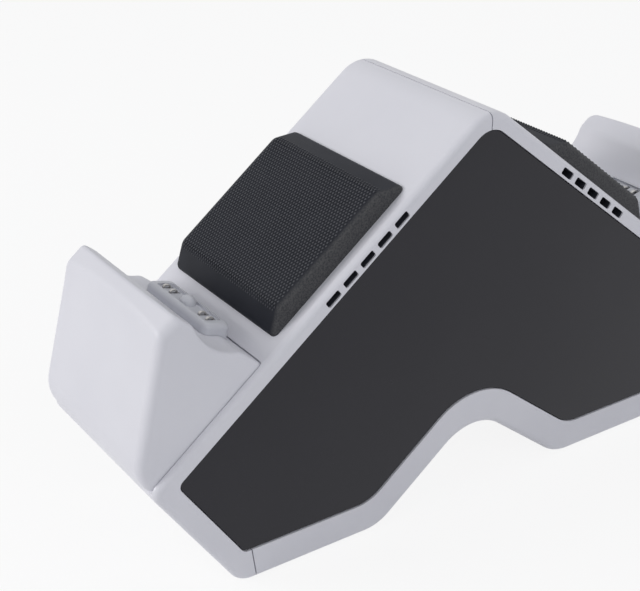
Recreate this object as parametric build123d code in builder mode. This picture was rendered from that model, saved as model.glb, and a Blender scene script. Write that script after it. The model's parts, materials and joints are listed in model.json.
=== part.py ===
from build123d import *
import os
from math import cos, hypot, radians, sin, tan

os.makedirs("parts", exist_ok=True)

# A double-sided charging dock. X is its width, -Y its front, +Z up, in millimetres and degrees.
# The origin is on the table, under the middle. The rear half is the front half turned round.

# Housing, seen from the side
body_width = 44.0
half_length = 77.5          # middle to the tip of the nose
nose_height = 27.9          # tip of the nose above the table
seat_angle = 38.2           # slope of the seat, and of the arch under the bridge
under_angle = 56.1          # slope from the nose down to the foot
foot_lift = 0.3             # rubber feet standing proud of the base
arch_half_width = 25.0      # middle to the inner corner of a foot
nose_radius = 2.6
toe_radius = 5.0
heel_radius = 10.0
crown_radius = 12.0
ridge_radius = 8.0
edge_radius = 1.4           # long outer edges of the housing

# Walls and the frame round the side panels
wall = 2.2
seat_band = 3.3
under_band = 4.8
base_band = 7.2
frame_corner = 1.6
frame_crown = 16.0
frame_ridge = 5.0
ledge_width = 1.5
ledge_thickness = 2.0
panel_thickness = 2.0
panel_recess = 0.3
panel_edge = 0.15
fit_gap = 0.15              # between pieces that seat in one another
seam_gap = 0.25             # between shell and base, and at the ridge
seam_setback = 2.7          # from the foot's front corner back to the seam
seam_lean = 8.0             # the seam's slant, backwards going down

# Wedge cap over the nose, measured up the seat (reach) and square to it (height)
cap_start = 0.5             # its front foot, just behind the tip of the nose
cap_reach = 32.0
cap_width = 41.2
cap_height = 22.2
cap_sink = 0.8              # pocket in the seat that the cap stands in
cap_chin_height = 3.9       # where its front begins to lean back
cap_chin_radius = 8.5
cap_top_reach = 27.4
cap_top_width = 39.4
cap_lip = 3.2               # thickness of its top edge
cap_crown = 1.0             # rise of the top edge in its middle
cap_top_corner = 2.5
cap_front_round = 2.0
cap_back_round = 0.9
cap_wall = 2.0
scoop_radius = 11.0         # hollow across its back, round the head
scoop_depth = 1.8
scoop_height = 11.0
scoop_round = 3.0

# Charging head: the middle of its top face, and its axis
head_reach = 32.4
head_height = 6.6
head_angle = 75.0
head_length = 23.6
head_depth = 6.0
head_corner = 1.5
head_round = 1.1
head_wall = 1.2
head_top = 1.6
recess_length = 19.4
recess_depth = 3.6
recess_corner = 0.6
recess_sink = 0.5
nub_diameter = 3.4
nub_height = 1.2
ear_depth = 6.0
ear_thickness = 2.2
contact_pitch = 2.8
contact_start = 5.7         # middle of the head to its first contact
contact_width = 0.6
contact_thickness = 0.3
contact_rise = 0.2          # crest above the top face
contact_span = 1.5
contact_tail = 2.0
contact_bend = 0.5
contact_foot = 1.2
slit_width = 0.9
slit_length = 3.0
head_board_length = 20.0
head_board_depth = 4.0
head_board_thickness = 1.0

# Back rest pad on the seat
pad_start = 37.2
pad_length = 38.0
pad_width = 37.7
pad_height = 4.0
pad_lip = 0.8               # upright edge all round, below the slants
pad_slant = 4.6             # run of its sloping front and back
pad_lip_round = 1.4
pad_round = 2.0
pad_end_round = 1.2

# Row of vent slots in the edge of each seat
vent_start = 50.0
vent_pitch = 5.0
vent_count = 5
vent_width = 3.6
vent_height = 1.6
vent_corner = 0.4
vent_drop = 2.0             # seat surface to the middle of the slots
vent_depth = 12.0

# Screws: shank, head and the hollow posts that take them
screw_diameter = 2.6
screw_head_diameter = 5.0
screw_head_height = 1.8
screw_head_chamfer = 0.5
post_diameter = 7.0
screw_hole = 3.0
tower_x = 12.5
tower_y = 47.0
base_screw_length = 14.0
cap_screw_x = 12.0
cap_screw_reach = 13.0
cap_screw_length = 7.0
cap_post_diameter = 6.0
head_screw_length = 7.0
head_post_diameter = 5.4
head_post_length = 6.0
ridge_screw_x = 10.0
ridge_screw_drop = 9.0
flange_thickness = 2.4
flange_height = 14.0

# Feet and ballast
rubber_diameter = 11.0
rubber_thickness = 1.6
rubber_chamfer = 0.3
seat_boss_height = 2.6      # raised seats round the base screws
ballast_width = 33.0
ballast_length = 22.0
ballast_thickness = 6.0

# Main board and power socket, on the bridge
board_width = 34.0
board_length = 34.0
board_thickness = 1.6
board_post_x = 12.0
board_post_y = 13.0
board_screw_length = 6.0
inlet_width = 9.0
inlet_height = 3.2
inlet_length = 7.3
inlet_wall = 0.4
inlet_tongue = 0.8
inlet_setback = 0.5
chip_size = 9.0
chip_height = 1.2
plug_width = 8.0            # small connectors for the leads
plug_length = 5.0
plug_height = 4.0
lead_diameter = 2.4
lead_drop = 16.0            # straight down from the seat
lead_run = 15.0             # level run in front of the main board
lead_bend = 8.0

# Worked out from the above
half_width = body_width / 2
slope = radians(seat_angle)
under_slope = radians(under_angle)
tilt = radians(head_angle - seat_angle)     # head axis against the seat
panel_back = half_width - panel_recess - panel_thickness
ledge_back = panel_back - ledge_thickness
toe_y = -half_length + (nose_height - foot_lift) / tan(under_slope)
seam_y = toe_y + seam_setback
floor_top = foot_lift + wall
screw_seat_top = floor_top + seat_boss_height
ridge_z = nose_height + half_length * tan(slope)
arch_z = foot_lift + arch_half_width * tan(slope)
crown_z = arch_z - crown_radius * (1 / cos(slope) - 1)
inlet_z = crown_z + wall + 2 * fit_gap + inlet_height / 2
board_z = inlet_z + inlet_height / 2
board_top = board_z + board_thickness
board_x = board_width / 2 - ledge_back + fit_gap
bridge_high = arch_z + (base_band + ledge_width) / cos(slope)
seat_low = nose_height + (half_length + seam_y) * tan(slope) - (seat_band + ledge_width) / cos(slope)
divide_z = (bridge_high + seat_low) / 2     # level in the hollow between base and seats
ear_screw_x = (head_length + screw_head_diameter) / 2 + fit_gap
ear_half_width = ear_screw_x + screw_head_diameter / 2 + fit_gap
foot_drop = (head_height + cap_sink) / sin(tilt)    # head's top face to the cap floor, on its axis
ear_reach = head_reach - foot_drop * cos(tilt)
head_board_reach = ear_reach + head_board_thickness / tan(tilt) / 2
lead_z = board_top + plug_height / 2

nose = (0, -half_length, nose_height)
seat = Plane(origin=nose, x_dir=(1, 0, 0), z_dir=(0, -sin(slope), cos(slope)))
seat_side = Plane(origin=nose, x_dir=(0, cos(slope), sin(slope)), z_dir=(1, 0, 0))
seat_front = Plane(origin=nose, x_dir=(1, 0, 0), z_dir=(0, -cos(slope), -sin(slope)))
cap_floor = seat.offset(-cap_sink)
head_axis = Vector(0, cos(radians(head_angle)), sin(radians(head_angle)))
head_middle = seat.from_local_coords((0, head_reach, head_height))
head_face = Plane(origin=head_middle, x_dir=(1, 0, 0), z_dir=head_axis)
head_side = Plane(origin=head_middle, x_dir=head_face.y_dir, z_dir=(1, 0, 0))
seat_up = Axis(nose, seat.z_dir)
seat_run = Axis(nose, seat_side.x_dir)

tower_spots = [(-tower_x, -tower_y), (tower_x, -tower_y)]
all_tower_spots = tower_spots + [(-x, -y) for x, y in tower_spots]
board_spots = [(x, y) for x in (-board_post_x, board_post_x) for y in (-board_post_y, board_post_y)]
cap_screw_spots = [(-cap_screw_x, cap_screw_reach), (cap_screw_x, cap_screw_reach)]
ear_spots = [(-ear_screw_x, ear_reach), (ear_screw_x, ear_reach)]
contact_spots = [side * (contact_start + i * contact_pitch) for side in (-1, 1) for i in (0, 1)]


def crossing(p, a, q, b):
    """Crossing of the line through p at angle a with the line through q at angle b."""
    t = ((q[0] - p[0]) * sin(b) - (q[1] - p[1]) * cos(b)) / sin(b - a)
    return (p[0] + t * cos(a), p[1] + t * sin(a))


def side_outline(x, seat_in, under_in, base_in, radii):
    """The dock's side outline at a given X, with its edges moved inwards."""
    tip = (-half_length, nose_height)
    on_seat = (tip[0] + seat_in * sin(slope), tip[1] - seat_in * cos(slope))
    on_under = (tip[0] + under_in * sin(under_slope), tip[1] + under_in * cos(under_slope))
    on_floor = (0, foot_lift + base_in)
    on_arch = (-arch_half_width - base_in * sin(slope), foot_lift + base_in * cos(slope))
    crown = crossing(on_arch, slope, (0, 0), radians(90))
    ridge = crossing(on_seat, slope, (0, 0), radians(90))
    heel = crossing(on_floor, 0, on_arch, slope)
    toe = crossing(on_floor, 0, on_under, -under_slope)
    front = crossing(on_seat, slope, on_under, -under_slope)
    rear_half = [(-y, z) for y, z in (front, toe, heel)]
    at_crown, at_heel, at_toe, at_nose, at_ridge = radii
    corners = (at_crown, at_heel, at_toe, at_nose, at_ridge, at_nose, at_toe, at_heel)
    with BuildSketch(Plane.YZ.offset(x)) as outline:
        with BuildLine():
            FilletPolyline(crown, heel, toe, front, ridge, *rear_half, radius=corners, close=True)
        make_face()
    return outline.sketch


def framed(x, inset):
    """The outline inside the white frame of a side panel, moved in further by an inset."""
    radii = (frame_crown, heel_radius, frame_corner, frame_corner, frame_ridge)
    return side_outline(x, seat_band + inset, under_band + inset, base_band + inset, radii)


def base_zone(grow):
    """The side outline of what belongs to the base, below the divide and between the seams."""
    foot = -seam_y - base_band * tan(radians(seam_lean)) + grow
    top = foot + divide_z * tan(radians(seam_lean))
    with BuildSketch(Plane.YZ) as zone:
        with BuildLine():
            Polyline((-foot, 0), (foot, 0), (top, divide_z), (-top, divide_z), close=True)
        make_face()
    return zone.sketch


def turned(piece):
    """The same piece in the rear half."""
    return piece.rotate(Axis.Z, 180)


def screw(plane, length):
    """A screw whose head seats on a plane, its shank along the plane's normal."""
    with BuildPart() as made:
        with BuildSketch(plane):
            Circle(screw_diameter / 2)
        extrude(amount=length)
        with BuildSketch(plane):
            Circle(screw_head_diameter / 2)
        extrude(amount=-screw_head_height)
        chamfer(made.edges().sort_by(Axis(plane.origin, plane.z_dir))[0], screw_head_chamfer)
    return made.part


def screws(plane, spots, length):
    """Screws at spots on a plane, their heads on it."""
    seats = [Plane(plane.from_local_coords((x, y, 0)), plane.x_dir, plane.z_dir) for x, y in spots]
    return [screw(at, length) for at in seats]


def finish(piece, name):
    """Label a piece and write it out."""
    piece.label = name
    export_step(piece, f"parts/{name}.step")


# Outer form of the housing, which also trims what stands inside it
with BuildPart() as outer_form:
    outer_radii = (crown_radius, heel_radius, toe_radius, nose_radius, ridge_radius)
    extrude(side_outline(0, 0, 0, 0, outer_radii), amount=half_width, both=True)
    fillet(outer_form.faces().filter_by(Axis.X).edges(), edge_radius)

# Hollow housing: its skin, and at each side a frame with a ledge for the panel
with BuildPart() as housing:
    add(outer_form.part)
    skin_radii = [crown_radius + wall] + [radius - wall for radius in outer_radii[1:]]
    extrude(side_outline(0, wall, wall, wall, skin_radii), amount=ledge_back, both=True, mode=Mode.SUBTRACT)
    extrude(framed(0, ledge_width), amount=panel_back, both=True, mode=Mode.SUBTRACT)
    for side in (-1, 1):
        frame_depth = half_width - panel_back
        extrude(framed(side * panel_back, 0), amount=side * frame_depth, mode=Mode.SUBTRACT)

# Base: the floor of both feet and the bridge between them
with BuildPart() as base:
    add(housing.part)
    extrude(base_zone(-seam_gap / 2), amount=half_width, both=True, mode=Mode.INTERSECT)
    with BuildSketch(Plane.XY.offset(foot_lift)):
        with Locations(*all_tower_spots):
            Circle(post_diameter / 2 + fit_gap + wall / 2)
    extrude(amount=wall + seat_boss_height)
    with BuildSketch(Plane.XY.offset(foot_lift)):
        with Locations(*board_spots):
            Circle(post_diameter / 2)
    extrude(amount=board_z - foot_lift)
    add(outer_form.part, mode=Mode.INTERSECT)
    with BuildSketch(Plane.XY.offset(foot_lift)):
        with Locations(*all_tower_spots):
            Circle(rubber_diameter / 2 + fit_gap)
    extrude(amount=rubber_thickness - foot_lift, mode=Mode.SUBTRACT)
    with BuildSketch(Plane.XY.offset(rubber_thickness)):
        with Locations(*all_tower_spots):
            Circle(screw_head_diameter / 2 + fit_gap)
    extrude(amount=screw_head_height + fit_gap, mode=Mode.SUBTRACT)
    with BuildSketch(Plane.XY.offset(rubber_thickness)):
        with Locations(*all_tower_spots):
            Circle(screw_hole / 2)
    extrude(amount=screw_seat_top, mode=Mode.SUBTRACT)
    with BuildSketch(Plane.XY.offset(board_z)):
        with Locations(*board_spots):
            Circle(screw_diameter / 2)
    extrude(amount=-board_screw_length, mode=Mode.SUBTRACT)
    with BuildSketch(Plane.YZ.offset(-half_width)):
        with Locations((0, inlet_z)):
            SlotOverall(inlet_width + 2 * fit_gap, inlet_height + 2 * fit_gap)
    extrude(amount=half_width - ledge_back, mode=Mode.SUBTRACT)
finish(base.part, "base")

# Seat shell: seat, nose and toe, with posts for the screws and a flange at the ridge
with BuildPart() as front_shell:
    add(housing.part)
    extrude(base_zone(seam_gap / 2), amount=half_width, both=True, mode=Mode.SUBTRACT)
    split(bisect_by=Plane.XZ.offset(seam_gap / 2), keep=Keep.TOP)
    with BuildSketch(Plane.XY.offset(screw_seat_top)):
        with Locations(*tower_spots):
            Circle(post_diameter / 2)
    extrude(amount=ridge_z - screw_seat_top - (tower_y - post_diameter) * tan(slope))
    with BuildSketch(Plane.XZ.offset(seam_gap / 2)):
        with Locations((0, ridge_z)):
            Rectangle(2 * ledge_back, 2 * flange_height)
    extrude(amount=flange_thickness)
    with BuildSketch(cap_floor):
        with Locations(*ear_spots):
            Circle(head_post_diameter / 2)
    extrude(amount=-head_post_length)
    add(outer_form.part, mode=Mode.INTERSECT)
    # pocket for the cap, and the holes in its floor
    with BuildSketch(cap_floor):
        with Locations((0, (cap_start + cap_reach) / 2)):
            pocket_length = cap_reach - cap_start + 2 * fit_gap
            RectangleRounded(cap_width + 2 * fit_gap, pocket_length, cap_back_round)
    extrude(amount=cap_height, mode=Mode.SUBTRACT)
    with BuildSketch(cap_floor):
        with Locations(*cap_screw_spots):
            Circle(screw_hole / 2)
        with Locations((0, head_board_reach)):
            Circle(lead_diameter / 2 + fit_gap)
    extrude(amount=-wall, mode=Mode.SUBTRACT)
    with BuildSketch(cap_floor):
        with Locations(*ear_spots):
            Circle(screw_diameter / 2)
    extrude(amount=-head_post_length, mode=Mode.SUBTRACT)
    # holes for the screws of the base and the ridge
    with BuildSketch(Plane.XY.offset(screw_seat_top)):
        with Locations(*tower_spots):
            Circle(screw_diameter / 2)
    extrude(amount=base_screw_length, mode=Mode.SUBTRACT)
    with BuildSketch(Plane.XZ.offset(seam_gap / 2)):
        with Locations((ridge_screw_x, ridge_z - ridge_screw_drop)):
            Circle(screw_hole / 2)
        with Locations((-ridge_screw_x, ridge_z - ridge_screw_drop)):
            Circle(screw_diameter / 2)
    extrude(amount=flange_thickness, mode=Mode.SUBTRACT)
    # vents in both edges of the seat
    for side in (-1, 1):
        with BuildSketch(seat_side.offset(side * (half_width - vent_depth))):
            with Locations(*[(vent_start + i * vent_pitch, -vent_drop) for i in range(vent_count)]):
                RectangleRounded(vent_width, vent_height, vent_corner)
        extrude(amount=side * half_width, mode=Mode.SUBTRACT)
finish(front_shell.part, "front_shell")
finish(turned(front_shell.part), "rear_shell")

# Gloss side panels on the ledges
for side, name in ((-1, "left_panel"), (1, "right_panel")):
    with BuildPart() as panel:
        extrude(framed(side * panel_back, fit_gap), amount=side * panel_thickness)
        fillet(panel.faces().sort_by(Axis.X)[-1 if side > 0 else 0].edges(), panel_edge)
    finish(panel.part, name)

# Wedge cap: its outer form, cut from the side and then from the front, with a rounded rim at the front and
# another at the scooped back
cap_rise = cap_height + cap_sink
cap_shoulder = cap_height - cap_crown
front_run = (cap_top_reach - cap_lip - cap_start) / (cap_height - cap_chin_height)
back_run = (cap_reach - cap_top_reach) / cap_rise
with BuildPart() as cap_form:
    cap_corners = (
        (cap_start, -cap_sink),
        (cap_start, cap_chin_height),
        (cap_top_reach - cap_lip + front_run * cap_crown, cap_height + cap_crown),
        (cap_top_reach - back_run * cap_crown, cap_height + cap_crown),
        (cap_reach, -cap_sink),
    )
    with BuildSketch(seat_side):
        with BuildLine():
            FilletPolyline(*cap_corners, radius=(0, cap_chin_radius, 0, 0, 0), close=True)
        make_face()
    extrude(amount=half_width, both=True)
    with BuildSketch(seat_front) as cap_view:
        with BuildLine():
            left, right = (-cap_top_width / 2, cap_shoulder), (cap_top_width / 2, cap_shoulder)
            Polyline(left, (-cap_width / 2, -cap_sink), (cap_width / 2, -cap_sink), right)
            ThreePointArc(right, (0, cap_height), left)
        make_face()
        fillet(cap_view.vertices().sort_by(Axis.Y)[-2:], cap_top_corner)
    extrude(amount=2 * cap_reach, both=True, mode=Mode.INTERSECT)
    fillet(cap_form.faces().sort_by(Axis.Y)[:3].edges().filter_by(Axis.X, reverse=True), cap_front_round)
    scoop_out = (scoop_radius - scoop_depth) / hypot(1, back_run)
    scoop_reach = cap_reach - back_run * (scoop_height + cap_sink) + scoop_out
    with BuildSketch(seat_side):
        with Locations((scoop_reach, scoop_height + scoop_out * back_run)):
            Circle(scoop_radius)
    extrude(amount=half_width, both=True, mode=Mode.SUBTRACT)
    fillet(cap_form.edges().filter_by(Axis.X).sort_by(seat_run)[-3:-1], scoop_round)
    fillet(cap_form.faces().sort_by(seat_run)[-5:].edges().filter_by(Axis.X, reverse=True), cap_back_round)

# The hollow cap, with the window for the head
with BuildPart() as front_cap:
    add(cap_form.part)
    hollow_front = cap_start + cap_wall * hypot(1, front_run)
    hollow_start = cap_start + cap_wall
    hollow_chin = cap_chin_height + (hollow_start - hollow_front) / front_run
    hollow_end = cap_reach - (cap_wall + scoop_depth) * hypot(1, back_run)
    hollow_foot = hollow_front - front_run * (cap_chin_height + cap_sink)
    hollow_rise = (hollow_end - hollow_foot - 2 * cap_wall) / (front_run + back_run)
    hollow_top = hollow_rise - cap_sink
    with BuildSketch(seat_side):
        with BuildLine():
            Polyline(
                (hollow_start, -cap_sink),
                (hollow_start, hollow_chin),
                (hollow_foot + front_run * hollow_rise, hollow_top),
                (hollow_end - back_run * hollow_rise, hollow_top),
                (hollow_end, -cap_sink),
                close=True,
            )
        make_face()
    extrude(amount=cap_top_width / 2 - cap_wall, both=True, mode=Mode.SUBTRACT)
    with BuildSketch(cap_floor):
        with Locations(*cap_screw_spots):
            Circle(cap_post_diameter / 2)
    extrude(amount=cap_rise)
    add(cap_form.part, mode=Mode.INTERSECT)
    with BuildSketch(cap_floor):
        with Locations(*cap_screw_spots):
            Circle(screw_diameter / 2)
    extrude(amount=cap_screw_length, mode=Mode.SUBTRACT)
    with BuildSketch(head_face):
        RectangleRounded(head_length + 2 * fit_gap, head_depth + 2 * fit_gap, head_corner + fit_gap)
    extrude(amount=foot_drop + head_depth, both=True, mode=Mode.SUBTRACT)
finish(front_cap.part, "front_cap")
finish(turned(front_cap.part), "rear_cap")

# Charging head: a hollow oblong column on the cap floor, with ears, slits and a locating nub
with BuildPart() as front_head:
    with BuildSketch(head_face):
        RectangleRounded(head_length, head_depth, head_corner)
    extrude(amount=-foot_drop - head_depth)
    fillet(front_head.faces().sort_by(Axis(head_middle, head_axis))[-1].edges(), head_round)
    with BuildSketch(cap_floor):
        with Locations((0, ear_reach)):
            Rectangle(2 * ear_half_width, ear_depth)
    extrude(amount=ear_thickness)
    split(bisect_by=cap_floor, keep=Keep.TOP)
    with BuildSketch(head_face.offset(-head_top)):
        RectangleRounded(head_length - 2 * head_wall, head_depth - 2 * head_wall, head_corner - head_wall)
    extrude(amount=-foot_drop - head_depth, mode=Mode.SUBTRACT)
    with BuildSketch(head_face):
        RectangleRounded(recess_length, recess_depth, recess_corner)
    extrude(amount=-recess_sink, mode=Mode.SUBTRACT)
    with BuildSketch(head_face.offset(-head_top)):
        with Locations(*[(x, 0) for x in contact_spots]):
            Rectangle(slit_width, slit_length)
    extrude(amount=head_top, mode=Mode.SUBTRACT)
    with BuildSketch(head_face.offset(-head_top)):
        Circle(nub_diameter / 2)
    extrude(amount=head_top + nub_height)
    fillet(front_head.edges().sort_by(Axis(head_middle, head_axis))[-1], nub_diameter / 2 - fit_gap)
    with BuildSketch(cap_floor.offset(ear_thickness)):
        with Locations(*ear_spots):
            Circle(screw_hole / 2)
    extrude(amount=-ear_thickness, mode=Mode.SUBTRACT)
finish(front_head.part, "front_head")
finish(turned(front_head.part), "rear_head")

# Leaf contacts: a foot on the board, a leg up through the slit and a bowed crest
with BuildPart() as front_contacts:
    leg_y = -contact_span / 2
    foot_height = head_board_thickness - cap_sink + contact_thickness / 2
    knee_z = (foot_height - head_height + cos(tilt) * leg_y) / sin(tilt)
    crest_z = contact_rise - contact_thickness / 2
    contact_path = (
        (leg_y - contact_foot * sin(tilt), knee_z - contact_foot * cos(tilt)),
        (leg_y, knee_z),
        (leg_y, crest_z),
        (-leg_y, crest_z),
        (-leg_y, crest_z - contact_tail),
    )
    for x in contact_spots:
        with BuildSketch(head_side.offset(x)):
            with BuildLine():
                FilletPolyline(*contact_path, radius=contact_bend)
            trace(line_width=contact_thickness)
        extrude(amount=contact_width / 2, both=True)
finish(front_contacts.part, "front_contacts")
finish(turned(front_contacts.part), "rear_contacts")

with BuildPart() as front_head_board:
    with BuildSketch(cap_floor):
        with Locations((0, head_board_reach)):
            Rectangle(head_board_length, head_board_depth)
    extrude(amount=head_board_thickness)
finish(front_head_board.part, "front_head_board")
finish(turned(front_head_board.part), "rear_head_board")

# Back rest pad: a flat top between a sloping front and back
with BuildPart() as front_pad:
    pad_end = pad_start + pad_length
    pad_corners = (
        (pad_start, 0),
        (pad_start, pad_lip),
        (pad_start + pad_slant, pad_height),
        (pad_end - pad_slant, pad_height),
        (pad_end, pad_lip),
        (pad_end, 0),
    )
    pad_radii = (0, pad_lip_round, pad_round, pad_round, pad_lip_round, 0)
    with BuildSketch(seat_side):
        with BuildLine():
            FilletPolyline(*pad_corners, radius=pad_radii, close=True)
        make_face()
    extrude(amount=pad_width / 2, both=True)
    fillet(front_pad.faces().filter_by(Axis.X).edges().sort_by(seat_up)[2:], pad_end_round)
finish(front_pad.part, "front_pad")
finish(turned(front_pad.part), "rear_pad")

# Inner lead from the head board down to the main board
with BuildPart() as front_lead:
    lead_start = cap_floor.from_local_coords((0, head_board_reach, 0))
    lead_corner = cap_floor.from_local_coords((0, head_board_reach, -lead_drop))
    lead_end = Vector(0, -board_length / 2, lead_z)
    lead_level = lead_end - Vector(0, lead_run, 0)
    with BuildLine() as lead_route:
        FilletPolyline(lead_start, lead_corner, lead_level, lead_end, radius=lead_bend)
    with BuildSketch(Plane(lead_route.line @ 0, z_dir=lead_route.line % 0)):
        Circle(lead_diameter / 2)
    sweep()
finish(front_lead.part, "front_lead")
finish(turned(front_lead.part), "rear_lead")

# Main board on its posts, with a chip and a connector for each lead
with BuildPart() as main_board:
    with BuildSketch(Plane.XY.offset(board_z)):
        with Locations((board_x, 0)):
            Rectangle(board_width, board_length)
        with Locations(*board_spots):
            Circle(screw_hole / 2, mode=Mode.SUBTRACT)
    extrude(amount=board_thickness)
    with BuildSketch(Plane.XY.offset(board_top)):
        with Locations((0, (plug_length - board_length) / 2), (0, (board_length - plug_length) / 2)):
            Rectangle(plug_width, plug_length)
    extrude(amount=plug_height)
    with BuildSketch(Plane.XY.offset(board_top)):
        Rectangle(chip_size, chip_size)
    extrude(amount=chip_height)
finish(main_board.part, "main_board")

# Power socket under the board's left edge, its mouth in the side of the bridge
with BuildPart() as power_inlet:
    mouth = Plane.YZ.offset(inlet_setback - half_width)
    with BuildSketch(mouth):
        with Locations((0, inlet_z)):
            SlotOverall(inlet_width, inlet_height)
    extrude(amount=inlet_length)
    with BuildSketch(mouth):
        with Locations((0, inlet_z)):
            SlotOverall(inlet_width - 2 * inlet_wall, inlet_height - 2 * inlet_wall)
            Rectangle(inlet_width - inlet_height, inlet_tongue, mode=Mode.SUBTRACT)
    extrude(amount=inlet_length - wall, mode=Mode.SUBTRACT)
finish(power_inlet.part, "power_inlet")

# Ballast plates on the floor of the feet, held round the screw seats
with BuildPart() as front_ballast:
    with BuildSketch(Plane.XY.offset(floor_top)):
        with Locations((0, -tower_y + post_diameter - wall)):
            Rectangle(ballast_width, ballast_length)
        with Locations(*tower_spots):
            Circle(post_diameter / 2 + wall / 2 + 2 * fit_gap, mode=Mode.SUBTRACT)
    extrude(amount=ballast_thickness)
finish(front_ballast.part, "front_ballast")
finish(turned(front_ballast.part), "rear_ballast")

# Rubber feet over the base screws
for x, y in all_tower_spots:
    with BuildPart() as rubber_foot:
        with BuildSketch():
            with Locations((x, y)):
                Circle(rubber_diameter / 2)
        extrude(amount=rubber_thickness)
        chamfer(rubber_foot.edges().sort_by(Axis.Z)[0], rubber_chamfer)
    finish(rubber_foot.part, f"{'front' if y < 0 else 'rear'}_{'left' if x < 0 else 'right'}_foot")

# Fasteners
base_screw_plane = Plane.XY.offset(rubber_thickness + fit_gap + screw_head_height)
finish(Compound(screws(base_screw_plane, all_tower_spots, base_screw_length)), "base_screws")
cap_screws = screws(seat.offset(-wall), cap_screw_spots, cap_screw_length)
finish(Compound(cap_screws + [turned(s) for s in cap_screws]), "cap_screws")
ear_top = Plane(cap_floor.offset(ear_thickness).origin, x_dir=-cap_floor.x_dir, z_dir=-cap_floor.z_dir)
head_screws = screws(ear_top, ear_spots, head_screw_length)
finish(Compound(head_screws + [turned(s) for s in head_screws]), "head_screws")
flange_face = (0, -seam_gap / 2 - flange_thickness, ridge_z - ridge_screw_drop)
ridge_plane = Plane(flange_face, x_dir=(-1, 0, 0), z_dir=(0, 1, 0))
ridge_screw = screws(ridge_plane, [(-ridge_screw_x, 0)], 2 * flange_thickness + seam_gap)
finish(Compound(ridge_screw + [turned(s) for s in ridge_screw]), "ridge_screws")
board_screw_plane = Plane((0, 0, board_top), x_dir=(1, 0, 0), z_dir=(0, 0, -1))
finish(Compound(screws(board_screw_plane, board_spots, board_screw_length)), "board_screws")
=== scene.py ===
import json
from math import atan2, cos, pi, radians, sin, sqrt

import bpy
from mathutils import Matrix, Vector


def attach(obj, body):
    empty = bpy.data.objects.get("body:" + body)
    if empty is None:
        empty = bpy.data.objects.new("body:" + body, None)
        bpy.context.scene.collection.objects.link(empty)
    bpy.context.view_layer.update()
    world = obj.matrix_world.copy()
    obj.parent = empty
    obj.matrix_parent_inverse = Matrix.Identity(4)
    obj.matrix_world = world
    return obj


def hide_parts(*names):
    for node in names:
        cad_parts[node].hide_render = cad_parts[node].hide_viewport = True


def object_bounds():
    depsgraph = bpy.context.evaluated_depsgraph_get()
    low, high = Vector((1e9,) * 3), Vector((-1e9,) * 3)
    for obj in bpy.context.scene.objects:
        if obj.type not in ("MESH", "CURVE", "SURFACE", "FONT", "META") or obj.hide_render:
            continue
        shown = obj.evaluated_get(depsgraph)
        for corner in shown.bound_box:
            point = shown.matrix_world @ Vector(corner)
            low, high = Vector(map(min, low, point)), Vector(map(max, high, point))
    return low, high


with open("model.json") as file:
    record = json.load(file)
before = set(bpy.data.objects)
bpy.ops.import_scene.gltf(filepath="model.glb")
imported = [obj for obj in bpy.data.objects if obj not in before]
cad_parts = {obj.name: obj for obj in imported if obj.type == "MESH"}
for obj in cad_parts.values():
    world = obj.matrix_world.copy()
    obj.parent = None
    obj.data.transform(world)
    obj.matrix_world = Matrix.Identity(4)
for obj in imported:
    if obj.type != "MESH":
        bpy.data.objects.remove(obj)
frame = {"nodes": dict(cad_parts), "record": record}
nodes = frame["nodes"]
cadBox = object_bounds()
print("frame loaded:", len(nodes), "nodes")

millimetre = 0.001

# the seats' slope, as in the solids
seat = {"slope": radians(38.2)}
seatUp = Vector((0, cos(seat["slope"]), sin(seat["slope"])))
seatOut = Vector((0, -sin(seat["slope"]), cos(seat["slope"])))


def extent(node, axis):
    along = [corner.co.dot(axis) for corner in nodes[node].data.vertices]
    return min(along), max(along)


# shader sockets as Python values: maths on them adds Math nodes
class Wire:
    def __init__(self, tree, socket=None):
        self.tree = tree
        self.socket = socket

    def node(self, kind, settings, values, output=0):
        made = self.tree.nodes.new(kind)
        for name, setting in settings.items():
            setattr(made, name, setting)
        for key, value in values.items():
            if isinstance(value, Wire):
                self.tree.links.new(value.socket, made.inputs[key])
            else:
                made.inputs[key].default_value = value
        return Wire(self.tree, made.outputs[output])

    def maths(self, operation, first, second):
        return self.node("ShaderNodeMath", {"operation": operation}, {0: first, 1: second})

    def __add__(self, other):
        return self.maths("ADD", self, other)

    def __radd__(self, other):
        return self.maths("ADD", other, self)

    def __sub__(self, other):
        return self.maths("SUBTRACT", self, other)

    def __rsub__(self, other):
        return self.maths("SUBTRACT", other, self)

    def __mul__(self, other):
        return self.maths("MULTIPLY", self, other)

    def __rmul__(self, other):
        return self.maths("MULTIPLY", other, self)

    def axis(self, name):
        return self.node("ShaderNodeSeparateXYZ", {}, {0: self}, name)

    def size(self):
        return self.maths("ABSOLUTE", self, 0)

    def within(self, low, high):
        return self.maths("GREATER_THAN", self, low) * self.maths("LESS_THAN", self, high)

    def noise(self, size, detail=2.0):
        values = {"Vector": self, "Scale": 1 / size, "Detail": detail}
        return self.node("ShaderNodeTexNoise", {}, values, "Fac")

    def between(self, low, high):
        values = {"Value": self, "From Min": low, "From Max": high}
        return self.node("ShaderNodeMapRange", {"clamp": True}, values)

    def colours(self, first, second):
        return self.node("ShaderNodeMix", {"data_type": "RGBA"}, {0: self, 6: first, 7: second}, 2)

    def bump(self, strength, depth):
        values = {"Height": self, "Strength": strength, "Distance": depth}
        return self.node("ShaderNodeBump", {}, values, "Normal")


def newFinish(name):
    material = bpy.data.materials.new(name)
    material.use_nodes = True
    shader = material.node_tree.nodes["Principled BSDF"]
    place = Wire(material.node_tree).node("ShaderNodeTexCoord", {}, {}, "Object")
    return material, shader, place


def feed(shader, values):
    for key, value in values.items():
        if isinstance(value, Wire):
            value.tree.links.new(value.socket, shader.inputs[key])
        else:
            shader.inputs[key].default_value = value


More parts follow.
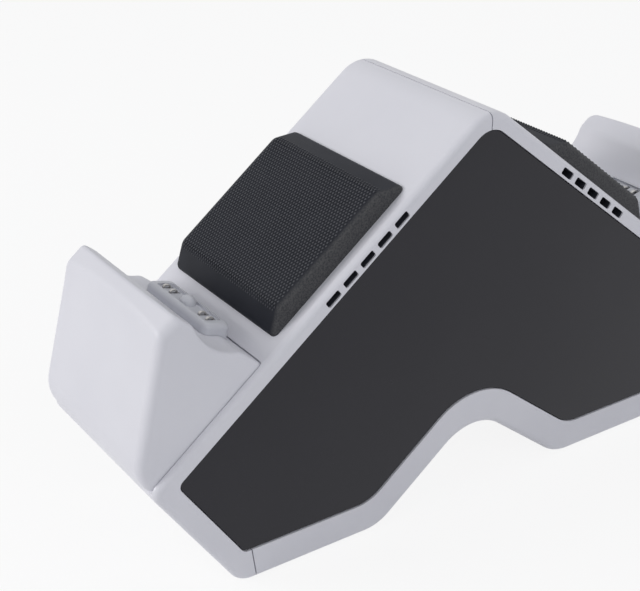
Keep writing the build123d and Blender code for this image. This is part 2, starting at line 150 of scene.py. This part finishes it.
# a place measured square to its own seat, front or rear, and up along it
def aboveSeat(place):
    return sin(seat["slope"]) * place.axis("Y").size() + cos(seat["slope"]) * place.axis("Z")


def upSeat(place):
    return sin(seat["slope"]) * place.axis("Z") - cos(seat["slope"]) * place.axis("Y").size()


whitePlastic = {
    "pale": (0.735, 0.735, 0.785, 1),
    "deep": (0.715, 0.715, 0.767, 1),
    "roughness": 0.40,
    "cloud": 0.018,
    "cloudEdges": (0.35, 0.65),
    "cloudSpread": 0.04,    # change of roughness
    "grain": 0.00022,
    "grainDepth": 0.000012,
    "grainBump": 0.35,
    "grainSpread": 0.08,
}


def makeWhitePlastic(name, sizes):
    material, shader, place = newFinish(name)
    cloud = place.noise(sizes["cloud"], 3).between(*sizes["cloudEdges"])
    grain = place.noise(sizes["grain"])
    grainRough = sizes["grainSpread"] * (grain - 0.5)
    cloudRough = sizes["cloudSpread"] * (cloud - 0.5)
    feed(shader, {
        "Base Color": cloud.colours(sizes["pale"], sizes["deep"]),
        "Roughness": sizes["roughness"] + grainRough + cloudRough,
        "Normal": grain.bump(sizes["grainBump"], sizes["grainDepth"]),
        "IOR": 1.5,
    })
    return material


glossPanel = {
    "black": (0.0085, 0.0085, 0.0118, 1),
    "dusted": (0.0150, 0.0150, 0.0185, 1),
    "roughness": 0.06,
    "gloss": 0.34,
    "tint": (0.93, 0.92, 1.0, 1),
    "haze": 0.03,
    "hazeEdges": (0.40, 0.70),
    "hazeShare": 0.35,
    "hazeRough": 0.03,
    "speck": 0.0006,
    "speckEdges": (0.72, 0.80),
    "speckShare": 0.5,
    "speckRough": 0.10,
}


def makeGlossPanel(name, sizes):
    material, shader, place = newFinish(name)
    haze = place.noise(sizes["haze"], 3).between(*sizes["hazeEdges"])
    specks = place.noise(sizes["speck"], 1).between(*sizes["speckEdges"])
    dust = sizes["hazeShare"] * haze + sizes["speckShare"] * specks
    feed(shader, {
        "Base Color": dust.colours(sizes["black"], sizes["dusted"]),
        "Roughness": sizes["roughness"] + sizes["hazeRough"] * haze + sizes["speckRough"] * specks,
        "Specular IOR Level": sizes["gloss"],
        "Specular Tint": sizes["tint"],
    })
    return material


# the shells are of the same white plastic, with painted shade inside their vents
shellPlastic = {
    **whitePlastic,
    # painted shade: the dark colour given to the vents' inner walls
    "inside": (0.040, 0.043, 0.055, 1),
    "ventTop": 1.1 * millimetre,
    "ventFoot": 2.9 * millimetre,
    "mouth": 0.35 * millimetre,
}


def makeShellPlastic(name, sizes):
    material = makeWhitePlastic(name, sizes)
    shader = material.node_tree.nodes["Principled BSDF"]
    white = Wire(material.node_tree, shader.inputs["Base Color"].links[0].from_socket)
    place = white.node("ShaderNodeTexCoord", {}, {}, "Object")
    seatTop = extent("front_pad", seatOut)[0]
    row = upSeat(place).within(*extent("front_pad", seatUp))
    band = aboveSeat(place).within(seatTop - sizes["ventFoot"], seatTop - sizes["ventTop"])
    deep = place.axis("X").size().within(0, cadBox[1].x - sizes["mouth"])
    # painted shade: past their mouths, the vents' walls are coloured dark where shade would fall
    feed(shader, {"Base Color": (row * band * deep).colours(white, sizes["inside"])})
    return material


greyHead = {
    **whitePlastic,
    "pale": (0.620, 0.628, 0.672, 1),
    "deep": (0.590, 0.598, 0.642, 1),
    "roughness": 0.44,
    "grain": 0.00018,
    "grainDepth": 0.00001,
}

padRubber = {
    "dark": (0.0100, 0.0115, 0.0170, 1),
    "worn": (0.0145, 0.0162, 0.0225, 1),
    "roughness": 0.58,
    "sheen": 0.18,
    "cloud": 0.006,
    "cloudEdges": (0.35, 0.70),
    "cloudSpread": 0.06,    # change of roughness
    "grain": 0.00012,
    "grainDepth": 0.00002,
    "grainBump": 0.5,
    "grainSpread": 0.16,
}


def makePadRubber(name, sizes):
    material, shader, place = newFinish(name)
    cloud = place.noise(sizes["cloud"], 3).between(*sizes["cloudEdges"])
    grain = place.noise(sizes["grain"])
    grainRough = sizes["grainSpread"] * (grain - 0.5)
    feed(shader, {
        "Base Color": cloud.colours(sizes["dark"], sizes["worn"]),
        "Roughness": sizes["roughness"] + grainRough + sizes["cloudSpread"] * cloud,
        "Specular IOR Level": sizes["sheen"],
        "Normal": grain.bump(sizes["grainBump"], sizes["grainDepth"]),
    })
    return material


# rubber of the back rests: a painted highlight on the tips of their dots and a speckled painted
# reflection at their ends
restRubber = {
    **padRubber,
    # painted highlight: the paler colour of the dots' tips
    "tip": (0.0760, 0.0790, 0.0890, 1),
    # painted reflection: the paler colour of the rests' ends
    "end": (0.0760, 0.0760, 0.0790, 1),
    "dotRise": 0.19 * millimetre,
    "tipFrom": 0.2,             # share of the rise at which a tip begins
    "tipSmooth": 0.10,
    "lean": radians(34.82),     # of the front and back slopes against the seat
    "endRound": 1.2 * millimetre,
    "endFull": 0.3,             # share of the round, from the end, that is all pale
    "speckle": 0.00035,
    "speckleEdges": (0.35, 0.60),
    "speckleLeast": 0.4,
}


# 1 on the tips of the dots that stand on one face of the rests, leaning as given
def tipsOnFace(place, lean, sizes):
    faceOut = seatOut * cos(lean) - seatUp * sin(lean)
    face = extent("front_pad", faceOut)[1]
    above = cos(lean) * aboveSeat(place) - sin(lean) * upSeat(place)
    return above.between(face + sizes["tipFrom"] * sizes["dotRise"], face + sizes["dotRise"])


def makeRestRubber(name, sizes):
    material, shader, place = newFinish(name)
    side = extent("front_pad", Vector((1, 0, 0)))[1]
    grain = place.noise(sizes["grain"])
    cloud = place.noise(sizes["cloud"], 3).between(*sizes["cloudEdges"])
    tip = tipsOnFace(place, 0, sizes)
    for lean in (sizes["lean"], -sizes["lean"]):
        tip = tip.maths("MAXIMUM", tip, tipsOnFace(place, lean, sizes))
    # where the paler, speckled painted reflection lies, on the rounds at the ends
    endFrom, endTo = (side - share * sizes["endRound"] for share in (1, sizes["endFull"]))
    endReflection = place.axis("X").size().between(endFrom, endTo)
    specks = place.noise(sizes["speckle"]).between(*sizes["speckleEdges"])
    speckle = sizes["speckleLeast"] + (1 - sizes["speckleLeast"]) * specks
    grainRough = sizes["grainSpread"] * (grain - 0.5)
    plain = cloud.colours(sizes["dark"], sizes["worn"])
    feed(shader, {
        # painted highlight on the dots' tips, and a speckled painted reflection on the rests' ends
        "Base Color": (endReflection * speckle).colours(tip.colours(plain, sizes["tip"]), sizes["end"]),
        "Roughness": sizes["roughness"] + grainRough - sizes["tipSmooth"] * tip,
        "Specular IOR Level": sizes["sheen"],
        "Normal": grain.bump(sizes["grainBump"], sizes["grainDepth"]),
    })
    return material


plainSteel = {
    "bright": (0.62, 0.63, 0.65, 1),
    "dull": (0.44, 0.45, 0.47, 1),
    "roughness": 0.30,
    "stain": 0.002,
    "stainEdges": (0.40, 0.75),
    "stainRough": 0.12,
    "scratch": 0.00015,
    "scratchDepth": 0.00001,
    "scratchBump": 0.15,
    "scratchRough": 0.10,
}
contactMetal = {
    **plainSteel,
    "bright": (0.52, 0.51, 0.50, 1),
    "dull": (0.38, 0.37, 0.36, 1),
    "roughness": 0.46,
}


def makeMetal(name, sizes):
    material, shader, place = newFinish(name)
    stain = place.noise(sizes["stain"], 3).between(*sizes["stainEdges"])
    scratch = place.noise(sizes["scratch"])
    scratchRough = sizes["scratchRough"] * (scratch - 0.5)
    feed(shader, {
        "Base Color": stain.colours(sizes["bright"], sizes["dull"]),
        "Metallic": 1.0,
        "Roughness": sizes["roughness"] + sizes["stainRough"] * stain + scratchRough,
        "Normal": scratch.bump(sizes["scratchBump"], sizes["scratchDepth"]),
    })
    return material


boardLacquer = {
    "green": (0.010, 0.085, 0.040, 1),
    "copper": (0.030, 0.150, 0.070, 1),
    "pitch": 0.0016,
    "roughness": 0.30,
    "trackEdges": (0.40, 0.46),
    "trackRough": 0.10,
    "trackBump": 0.3,
    "trackDepth": 0.00003,
}


def makeBoardLacquer(name, sizes):
    material, shader, place = newFinish(name)
    cells = place.node("ShaderNodeTexVoronoi", {"distance": "CHEBYCHEV"},
                       {"Vector": place, "Scale": 1 / sizes["pitch"]}, "Distance")
    track = cells.between(*sizes["trackEdges"])
    feed(shader, {
        "Base Color": track.colours(sizes["green"], sizes["copper"]),
        "Roughness": sizes["roughness"] + sizes["trackRough"] * track,
        "Normal": track.bump(sizes["trackBump"], sizes["trackDepth"]),
    })
    return material


finishes = {
    "white_shell": makeShellPlastic("shellWhite", shellPlastic),
    "white_cap": makeWhitePlastic("capWhite", {**whitePlastic, "roughness": 0.46}),
    "black_panel": makeGlossPanel("panelGloss", glossPanel),
    "grey_head": makeWhitePlastic("headGrey", greyHead),
    "contact_metal": makeMetal("contactPlate", contactMetal),
    "circuit_board": makeBoardLacquer("boardGreen", boardLacquer),
    "pad_rubber": makeRestRubber("restRubber", restRubber),
    "ballast_steel": makeMetal("ballastZinc", plainSteel),
    "lead_sheath": makePadRubber("leadSheath", {**padRubber, "roughness": 0.45}),
    "socket_steel": makeMetal("socketPlate", {**plainSteel, "roughness": 0.24}),
    "foot_rubber": makePadRubber("footRubber", padRubber),
    "screw_steel": makeMetal("screwZinc", {**plainSteel, "roughness": 0.34}),
}
for entry in frame["record"]["subparts"]:
    node = nodes[entry["node"]]
    node.data.materials.clear()
    node.data.materials.append(finishes[entry["material_slot"]])
print("finishes on every node:", len(finishes))


def deselect():
    if bpy.context.mode != "OBJECT":
        bpy.ops.object.mode_set(mode="OBJECT")
    bpy.ops.object.select_all(action="DESELECT")


def pick(piece, kind, wanted):
    bpy.ops.object.mode_set(mode="EDIT")
    bpy.ops.mesh.select_mode(type=kind)
    bpy.ops.mesh.select_all(action="DESELECT")
    bpy.ops.object.mode_set(mode="OBJECT")
    corners = piece.data.vertices
    for element in piece.data.edges if kind == "EDGE" else piece.data.polygons:
        element.select = wanted([corners[index].co for index in element.vertices])
    bpy.ops.object.mode_set(mode="EDIT")


def applyAll(piece):
    for modifier in list(piece.modifiers):
        bpy.ops.object.modifier_apply(modifier=modifier.name)


# in millimetres, as bevels need: the finished rest is brought down to metres
backRest = {
    "lip": 0.8,
    "slant": 4.6,
    "longRound": 0.74,
    "longSteps": 6,
    "endRound": 1.2,
    "endSteps": 6,
    "flatAngle": radians(1),
    "smoothAngle": radians(40),
    "dotPitch": 0.80,
    "dotRadius": 0.29,
    "dotRise": 0.19,
    "dotSides": 8,
    "dotRings": 6,
    "dotMargin": 0.05,
    "slopeDots": 1.4,       # run of dots on each slope, next to the top
    "slopeSink": 0.05,      # the rounded edge lies a little lower than the slope
}


def makeDots(width, length, sizes):
    pitch = sizes["dotPitch"]
    rowStep = pitch * sqrt(3) / 2
    columns = int(width / pitch)
    rows = round(length / rowStep / 2)
    deselect()
    bpy.ops.mesh.primitive_uv_sphere_add(
        segments=sizes["dotSides"], ring_count=sizes["dotRings"], radius=sizes["dotRadius"])
    dots = bpy.context.object
    bpy.ops.object.mode_set(mode="EDIT")
    bpy.ops.transform.resize(value=(1, 1, sizes["dotRise"] / sizes["dotRadius"]))
    bpy.ops.mesh.bisect(plane_co=(0, 0, 0), plane_no=(0, 0, 1), clear_inner=True)
    bpy.ops.mesh.select_all(action="SELECT")
    bpy.ops.mesh.duplicate()   # the staggered row
    bpy.ops.transform.translate(value=(pitch / 2, rowStep, 0))
    bpy.ops.object.mode_set(mode="OBJECT")
    for count, step in ((columns, (pitch, 0, 0)), (rows, (0, 2 * rowStep, 0))):
        row = dots.modifiers.new("row", "ARRAY")
        row.count = count
        row.use_relative_offset = False
        row.use_constant_offset = True
        row.constant_offset_displace = step
    applyAll(dots)
    spanX = (columns - 0.5) * pitch
    spanY = (2 * rows - 1) * rowStep
    dots.location = (-spanX / 2, -spanY / 2, 0)
    bpy.ops.object.transform_apply(location=True)
    return dots


def makeBackRest(node, sizes):
    left, right = extent(node, Vector((1, 0, 0)))
    start, end = extent(node, seatUp)
    low, high = extent(node, seatOut)
    width = (right - left) / millimetre
    length = (end - start) / millimetre
    height = (high - low) / millimetre
    lip, slant = sizes["lip"], sizes["slant"]
    deselect()
    bpy.ops.mesh.primitive_cube_add(size=1)
    pad = bpy.context.object
    bpy.ops.object.mode_set(mode="EDIT")
    bpy.ops.transform.resize(value=(width, length, lip))
    bpy.ops.transform.translate(value=(0, 0, lip / 2))
    pick(pad, "FACE", lambda ends: min(end.z for end in ends) > lip / 2)
    bpy.ops.mesh.extrude_region_move(TRANSFORM_OT_translate={"value": (0, 0, height - lip)})
    bpy.ops.transform.resize(value=(1, 1 - 2 * slant / length, 1))
    bpy.ops.mesh.select_all(action="SELECT")
    bpy.ops.mesh.dissolve_limited(angle_limit=sizes["flatAngle"])   # one face at each end
    pick(pad, "EDGE", lambda ends: ends[0].x * ends[1].x < 0 and min(end.z for end in ends) > lip / 2)
    bpy.ops.mesh.bevel(offset=sizes["longRound"], segments=sizes["longSteps"])
    pick(pad, "EDGE", lambda ends: ends[0].x * ends[1].x > 0 and max(end.z for end in ends) > lip / 50)
    bpy.ops.mesh.bevel(offset=sizes["endRound"], segments=sizes["endSteps"])
    bpy.ops.object.mode_set(mode="OBJECT")
    bpy.ops.object.shade_smooth_by_angle(angle=sizes["smoothAngle"])
    dotWidth = width - 2 * (sizes["endRound"] + sizes["dotMargin"])
    top = makeDots(dotWidth, length - 2 * slant, sizes)
    top.location = (0, 0, height)
    patches = [top]
    lean = atan2(height - lip, slant)
    down = sizes["slopeDots"] / 2
    for way in (-1, 1):     # the front slope and the back one
        patch = makeDots(dotWidth, sizes["slopeDots"], sizes)
        patch.rotation_euler = (-way * lean, 0, 0)
        across = length / 2 - slant + down * cos(lean)
        patch.location = (0, way * across, height - down * sin(lean) - sizes["slopeSink"])
        patches.append(patch)
    deselect()
    for patch in patches:
        patch.select_set(True)
    bpy.context.view_layer.objects.active = top
    bpy.ops.object.shade_smooth()
    pad.select_set(True)
    bpy.context.view_layer.objects.active = pad
    bpy.ops.object.join()
    pad.scale = (millimetre, millimetre, millimetre)
    pad.rotation_euler = (seat["slope"], 0, 0)
    pad.location = seatUp * (start + end) / 2 + seatOut * low
    bpy.ops.object.transform_apply(location=True, rotation=True, scale=True)
    return pad


def dress(piece, name, node, slot):
    piece.name = name
    piece.data.materials.clear()
    piece.data.materials.append(finishes[slot])
    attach(piece, "root")
    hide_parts(node)


frontRest = makeBackRest("front_pad", backRest)
deselect()
frontRest.select_set(True)
bpy.context.view_layer.objects.active = frontRest
bpy.ops.object.duplicate()
rearRest = bpy.context.object
rearRest.rotation_euler = (0, 0, pi)
bpy.ops.object.transform_apply(rotation=True)
dress(frontRest, "frontBackRest", "front_pad", "pad_rubber")
dress(rearRest, "rearBackRest", "rear_pad", "pad_rubber")
print("back rests:", len(frontRest.data.polygons), "faces each")


studio = {
    "floorSize": 6.0,
    "floorCells": 8,
    "floorRough": 0.9,
    "floorSheen": 0.1,
    "floorColour": (0.86, 0.86, 0.87, 1),
    "floorGlow": 0.88,
    "worldLight": (0.40, 0.405, 0.42, 1),
    "worldSeen": (1, 1, 1, 1),
}


# 1 for a ray that shows the background: straight on, in gloss or through something clear
def seenRays(tree):
    straight = Wire(tree).node("ShaderNodeLightPath", {}, {}, "Is Camera Ray")
    glossy = Wire(tree, straight.socket.node.outputs["Is Glossy Ray"])
    through = Wire(tree, straight.socket.node.outputs["Is Transmission Ray"])
    return straight.maths("MAXIMUM", straight.maths("MAXIMUM", straight, glossy), through)


def makeFloor(sizes):
    deselect()
    cells = sizes["floorCells"]
    bpy.ops.mesh.primitive_grid_add(x_subdivisions=cells, y_subdivisions=cells, size=sizes["floorSize"])
    floor = bpy.context.object
    floor.name = "floor"
    material = bpy.data.materials.new("floorPaper")
    material.use_nodes = True
    tree = material.node_tree
    shader = tree.nodes["Principled BSDF"]
    feed(shader, {
        "Base Color": sizes["floorColour"],
        "Roughness": sizes["floorRough"],
        "Specular IOR Level": sizes["floorSheen"],
    })
    seen = seenRays(tree)
    glow = seen.node("ShaderNodeEmission", {}, {"Color": (1, 1, 1, 1), "Strength": 1.0})
    mixed = seen.node("ShaderNodeMixShader", {}, {
        0: sizes["floorGlow"] * seen,
        1: Wire(tree, shader.outputs["BSDF"]),
        2: glow,
    })
    tree.links.new(mixed.socket, tree.nodes["Material Output"].inputs["Surface"])
    floor.data.materials.append(material)


def makeWorld(sizes):
    world = bpy.data.worlds.new("studio")
    bpy.context.scene.world = world
    world.use_nodes = True
    tree = world.node_tree
    colour = seenRays(tree).colours(sizes["worldLight"], sizes["worldSeen"])
    tree.links.new(colour.socket, tree.nodes["Background"].inputs["Color"])


lamps = {
    "key": {"place": (-0.28, -0.72, 0.36), "size": 0.36, "power": 2.7, "colour": (1.0, 0.99, 0.98)},
    "side": {"place": (0.66, -0.05, 0.40), "size": 0.60, "power": 1.0, "colour": (0.97, 0.98, 1.0)},
    "top": {"place": (-0.05, 0.20, 0.80), "size": 0.70, "power": 0.7, "colour": (1.0, 1.0, 1.0)},
}


def makeLamps(rows):
    aim = (cadBox[0] + cadBox[1]) / 2
    for name, lamp in rows.items():
        light = bpy.data.lights.new(name, "AREA")
        light.shape = "DISK"
        light.size = lamp["size"]
        light.energy = lamp["power"]
        light.color = lamp["colour"]
        holder = bpy.data.objects.new(name, light)
        holder.location = lamp["place"]
        holder.rotation_euler = (aim - holder.location).to_track_quat("-Z", "Y").to_euler()
        bpy.context.scene.collection.objects.link(holder)


photoCamera = {
    "place": (0.2142, -0.1706, 0.1748),
    "azimuth": radians(55.83),
    "elevation": radians(26.51),
    "lens": 78.42,
    "sensor": 36.0,
    "nearest": 0.01,
}


def makeCamera(sizes):
    camera = bpy.data.cameras.new("photoCamera")
    camera.sensor_fit = "HORIZONTAL"
    camera.sensor_width = sizes["sensor"]
    camera.lens = sizes["lens"]
    camera.clip_start = sizes["nearest"]
    holder = bpy.data.objects.new("photoCamera", camera)
    holder.location = sizes["place"]
    holder.rotation_euler = (pi / 2 - sizes["elevation"], 0, sizes["azimuth"])
    bpy.context.scene.collection.objects.link(holder)
    bpy.context.scene.camera = holder


makeFloor(studio)
makeWorld(studio)
makeLamps(lamps)
makeCamera(photoCamera)
bpy.context.scene.view_settings.view_transform = "Standard"
print("studio ready")
